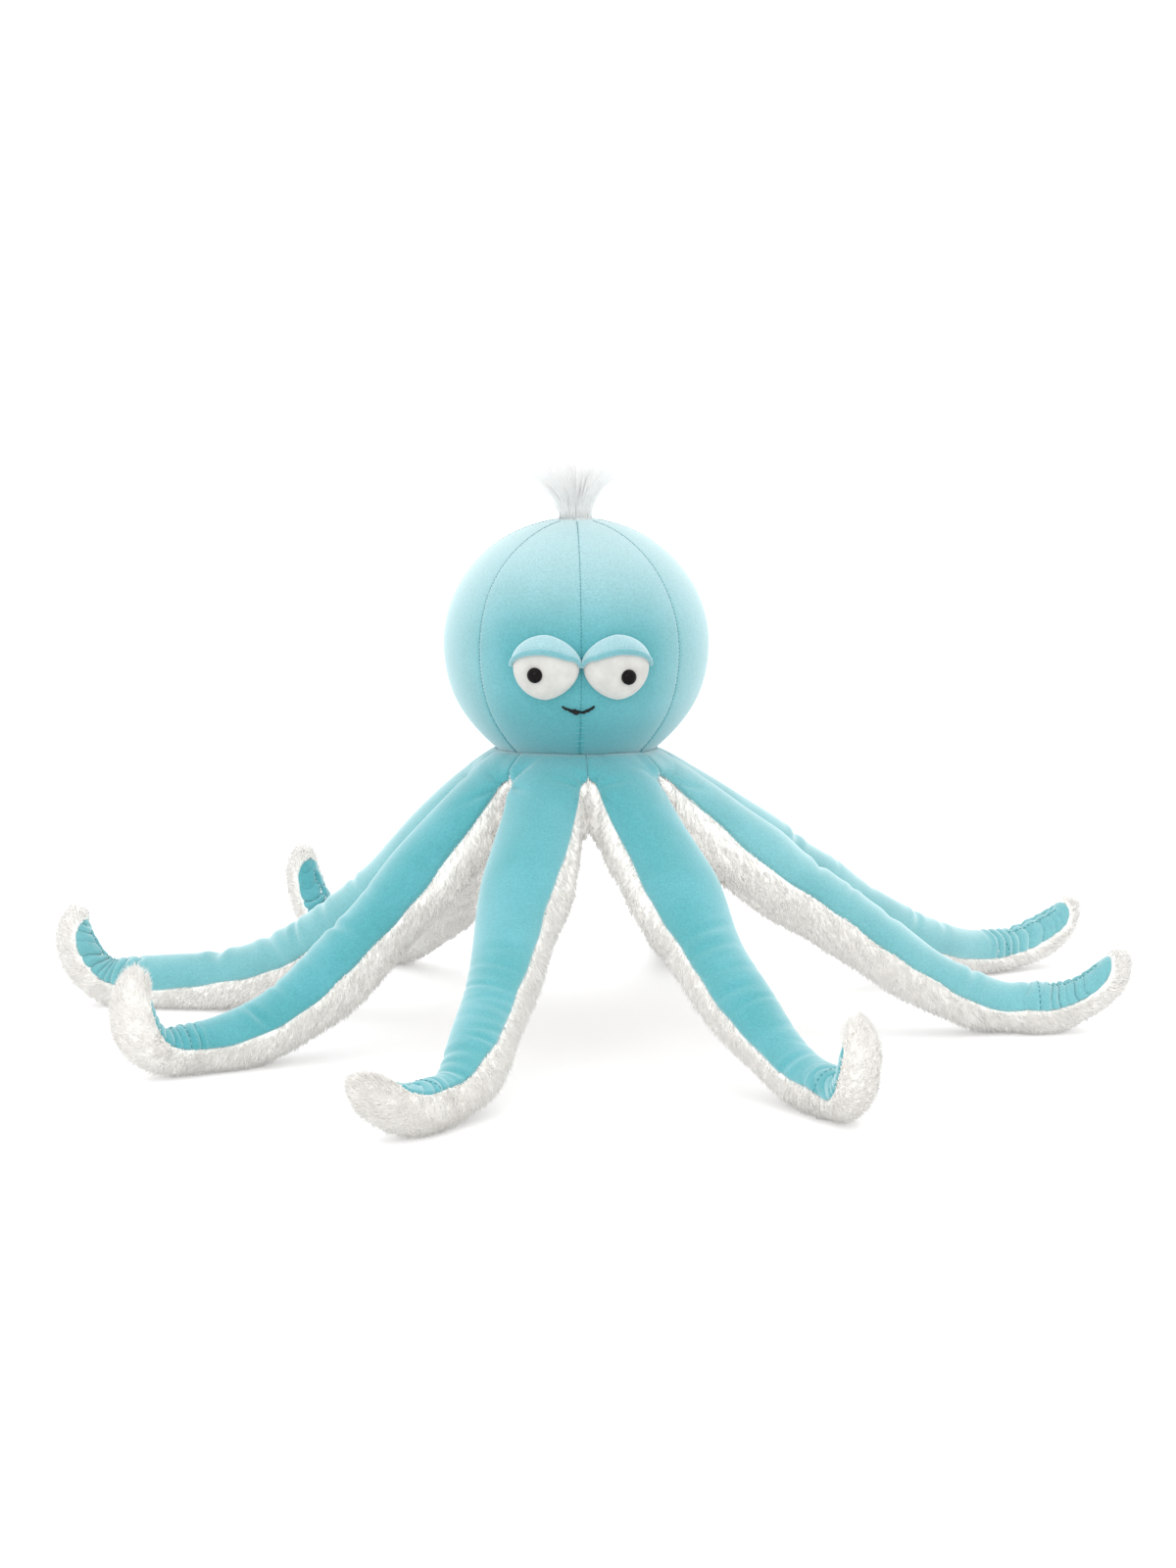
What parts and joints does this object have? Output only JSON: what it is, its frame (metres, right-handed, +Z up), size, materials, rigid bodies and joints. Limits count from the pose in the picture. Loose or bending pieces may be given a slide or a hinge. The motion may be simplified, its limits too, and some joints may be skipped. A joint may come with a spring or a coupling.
{
  "type": "plush octopus",
  "caption": "Plush octopus with a sewn ball head, bead eyes, a pile tuft and stuffed arms, velour above and long pile below, that turn at their shoulders and curled tips.",
  "frame": {"origin": "on the floor, under the middle of the toy's bounding box", "axes": "+Z up, the face towards -Y, +X to the toy's right as the viewer sees it"},
  "size_m": [0.586, 0.5326, 0.3084],
  "materials": {
    "velour": "short-pile turquoise velour with a soft sheen",
    "lid_velour": "short-pile pale turquoise velour",
    "long_pile": "white long-pile plush, 5 mm, brushed",
    "eye_felt": "white brushed felt, stuffed",
    "bead": "polished black plastic bead",
    "fibre": "white polyester filling fibre"
  },
  "bodies": {
    "trunk": {"collar": "velour", "trunk_stuffing": "fibre", "base_panel": "long_pile"},
    "head": {"head_panel_1": "velour", "head_panel_2": "velour", "head_panel_3": "velour", "head_panel_4": "velour", "head_panel_5": "velour", "head_panel_6": "velour", "head_panel_7": "velour", "head_panel_8": "velour", "head_stuffing": "fibre", "eye_pad_left": "eye_felt", "eyelid_left": "lid_velour", "pupil_left": "bead", "eye_pad_right": "eye_felt", "eyelid_right": "lid_velour", "pupil_right": "bead"},
    "tuft": {"tuft": "long_pile"},
    "arm_1": {"arm_1_top": "velour", "arm_1_under": "long_pile", "arm_1_stuffing": "fibre"},
    "arm_1_tip": {"arm_1_tip_top": "velour", "arm_1_tip_under": "long_pile"},
    "arm_2": {"arm_2_top": "velour", "arm_2_under": "long_pile", "arm_2_stuffing": "fibre"},
    "arm_2_tip": {"arm_2_tip_top": "velour", "arm_2_tip_under": "long_pile"},
    "arm_3": {"arm_3_top": "velour", "arm_3_under": "long_pile", "arm_3_stuffing": "fibre"},
    "arm_3_tip": {"arm_3_tip_top": "velour", "arm_3_tip_under": "long_pile"},
    "arm_4": {"arm_4_top": "velour", "arm_4_under": "long_pile", "arm_4_stuffing": "fibre"},
    "arm_4_tip": {"arm_4_tip_top": "velour", "arm_4_tip_under": "long_pile"},
    "arm_5": {"arm_5_top": "velour", "arm_5_under": "long_pile", "arm_5_stuffing": "fibre"},
    "arm_5_tip": {"arm_5_tip_top": "velour", "arm_5_tip_under": "long_pile"},
    "arm_6": {"arm_6_top": "velour", "arm_6_under": "long_pile", "arm_6_stuffing": "fibre"},
    "arm_6_tip": {"arm_6_tip_top": "velour", "arm_6_tip_under": "long_pile"},
    "arm_7": {"arm_7_top": "velour", "arm_7_under": "long_pile", "arm_7_stuffing": "fibre"},
    "arm_7_tip": {"arm_7_tip_top": "velour", "arm_7_tip_under": "long_pile"},
    "arm_8": {"arm_8_top": "velour", "arm_8_under": "long_pile", "arm_8_stuffing": "fibre"},
    "arm_8_tip": {"arm_8_tip_top": "velour", "arm_8_tip_under": "long_pile"}
  },
  "joints": [
    {"name": "head_nod", "type": "hinge", "parent": "trunk", "child": "head", "pos_m": [-0.0024, -0.00342, 0.18001], "axis": [1, 0, 0], "range_deg": [-12, 12]},
    {"name": "tuft_sway", "type": "hinge", "parent": "head", "child": "tuft", "pos_m": [-0.0024, -0.00342, 0.27338], "axis": [0, 1, 0], "range_deg": [-30, 30], "stiffness_Nm_per_rad": 0.02},
    {"name": "arm_1_lift", "type": "hinge", "parent": "trunk", "child": "arm_1", "pos_m": [-0.01894, -0.06109, 0.11701], "axis": [-0.9613, 0.2756, 0], "range_deg": [-30, 50]},
    {"name": "arm_1_curl", "type": "hinge", "parent": "arm_1", "child": "arm_1_tip", "pos_m": [-0.07607, -0.23708, 0.01331], "axis": [-0.7825, 0.6226, 0], "range_deg": [-35, 35]},
    {"name": "arm_2_lift", "type": "hinge", "parent": "trunk", "child": "arm_2", "pos_m": [0.02669, -0.05589, 0.11701], "axis": [-0.8746, -0.4848, 0], "range_deg": [-30, 50]},
    {"name": "arm_2_curl", "type": "hinge", "parent": "arm_2", "child": "arm_2_tip", "pos_m": [0.12561, -0.21231, 0.01331], "axis": [-0.8616, -0.5075, 0], "range_deg": [-35, 35]},
    {"name": "arm_3_lift", "type": "hinge", "parent": "trunk", "child": "arm_3", "pos_m": [0.05528, -0.01996, 0.11701], "axis": [-0.2756, -0.9613, 0], "range_deg": [-30, 50]},
    {"name": "arm_3_curl", "type": "hinge", "parent": "arm_3", "child": "arm_3_tip", "pos_m": [0.24751, -0.00996, 0.01331], "axis": [0.0262, -0.9997, 0], "range_deg": [-35, 35]},
    {"name": "arm_4_lift", "type": "hinge", "parent": "trunk", "child": "arm_4", "pos_m": [0.05008, 0.02567, 0.11701], "axis": [0.4848, -0.8746, 0], "range_deg": [-30, 50]},
    {"name": "arm_4_curl", "type": "hinge", "parent": "arm_4", "child": "arm_4_tip", "pos_m": [0.24007, 0.15105, 0.01331], "axis": [0.5373, -0.8434, 0], "range_deg": [-35, 35]},
    {"name": "arm_5_lift", "type": "hinge", "parent": "trunk", "child": "arm_5", "pos_m": [0.01414, 0.05426, 0.11701], "axis": [0.9613, -0.2756, 0], "range_deg": [-30, 50]},
    {"name": "arm_5_curl", "type": "hinge", "parent": "arm_5", "child": "arm_5_tip", "pos_m": [0.05644, 0.22409, 0.01331], "axis": [0.9833, -0.1822, 0], "range_deg": [-35, 35]},
    {"name": "arm_6_lift", "type": "hinge", "parent": "trunk", "child": "arm_6", "pos_m": [-0.03149, 0.04906, 0.11701], "axis": [0.8746, 0.4848, 0], "range_deg": [-30, 50]},
    {"name": "arm_6_curl", "type": "hinge", "parent": "arm_6", "child": "arm_6_tip", "pos_m": [-0.13624, 0.1988, 0.01331], "axis": [0.6087, 0.7934, 0], "range_deg": [-35, 35]},
    {"name": "arm_7_lift", "type": "hinge", "parent": "trunk", "child": "arm_7", "pos_m": [-0.06007, 0.01312, 0.11701], "axis": [0.2756, 0.9613, 0], "range_deg": [-30, 50]},
    {"name": "arm_7_curl", "type": "hinge", "parent": "arm_7", "child": "arm_7_tip", "pos_m": [-0.25278, 0.05669, 0.01331], "axis": [0.1305, 0.9914, 0], "range_deg": [-35, 35]},
    {"name": "arm_8_lift", "type": "hinge", "parent": "trunk", "child": "arm_8", "pos_m": [-0.05488, -0.03251, 0.11701], "axis": [-0.4848, 0.8746, 0], "range_deg": [-30, 50]},
    {"name": "arm_8_curl", "type": "hinge", "parent": "arm_8", "child": "arm_8_tip", "pos_m": [-0.20672, -0.11435, 0.01331], "axis": [-0.5373, 0.8434, 0], "range_deg": [-35, 35]}
  ]
}
